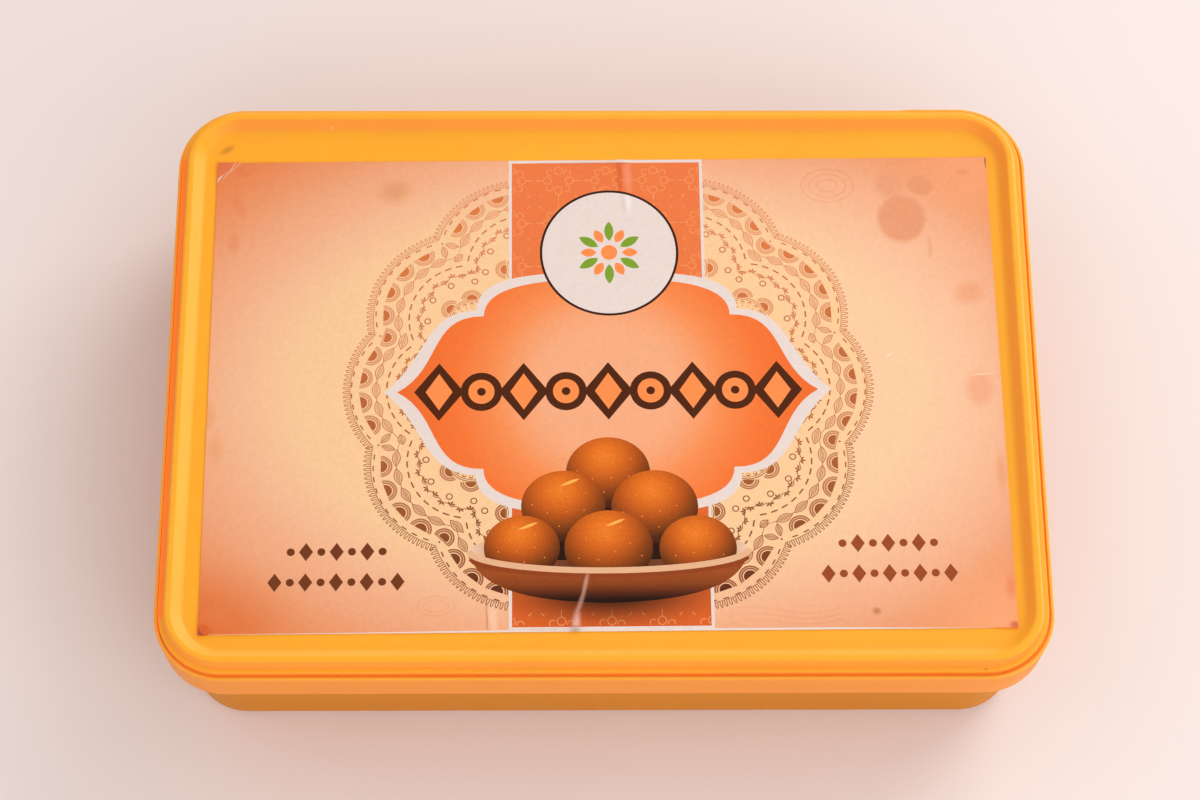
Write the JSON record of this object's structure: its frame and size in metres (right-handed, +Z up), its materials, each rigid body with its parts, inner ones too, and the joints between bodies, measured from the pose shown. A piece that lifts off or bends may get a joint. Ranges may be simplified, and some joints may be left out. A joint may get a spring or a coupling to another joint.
{
  "type": "lidded plastic sweet box",
  "caption": "Shut rectangular plastic sweet box with a collared tub, a lid sunk inside the collar and a printed paper label stuck on the lid's recessed panel.",
  "frame": {"origin": "middle of the box's underside, where it stands on the table", "axes": "+Z up through the lid; +X along the box's length, to the right as the label is read; +Y towards the label's top edge"},
  "size_m": [0.24, 0.17, 0.0522],
  "materials": {
    "tub_plastic": "satin moulded polypropylene, yellow-orange",
    "lid_plastic": "satin moulded polypropylene, yellow-orange",
    "label_paper": "coated paper, satin, printed in peach, orange and brown"
  },
  "bodies": {
    "root": {"tub": "tub_plastic", "lid": "lid_plastic", "label": "label_paper"}
  },
  "joints": []
}
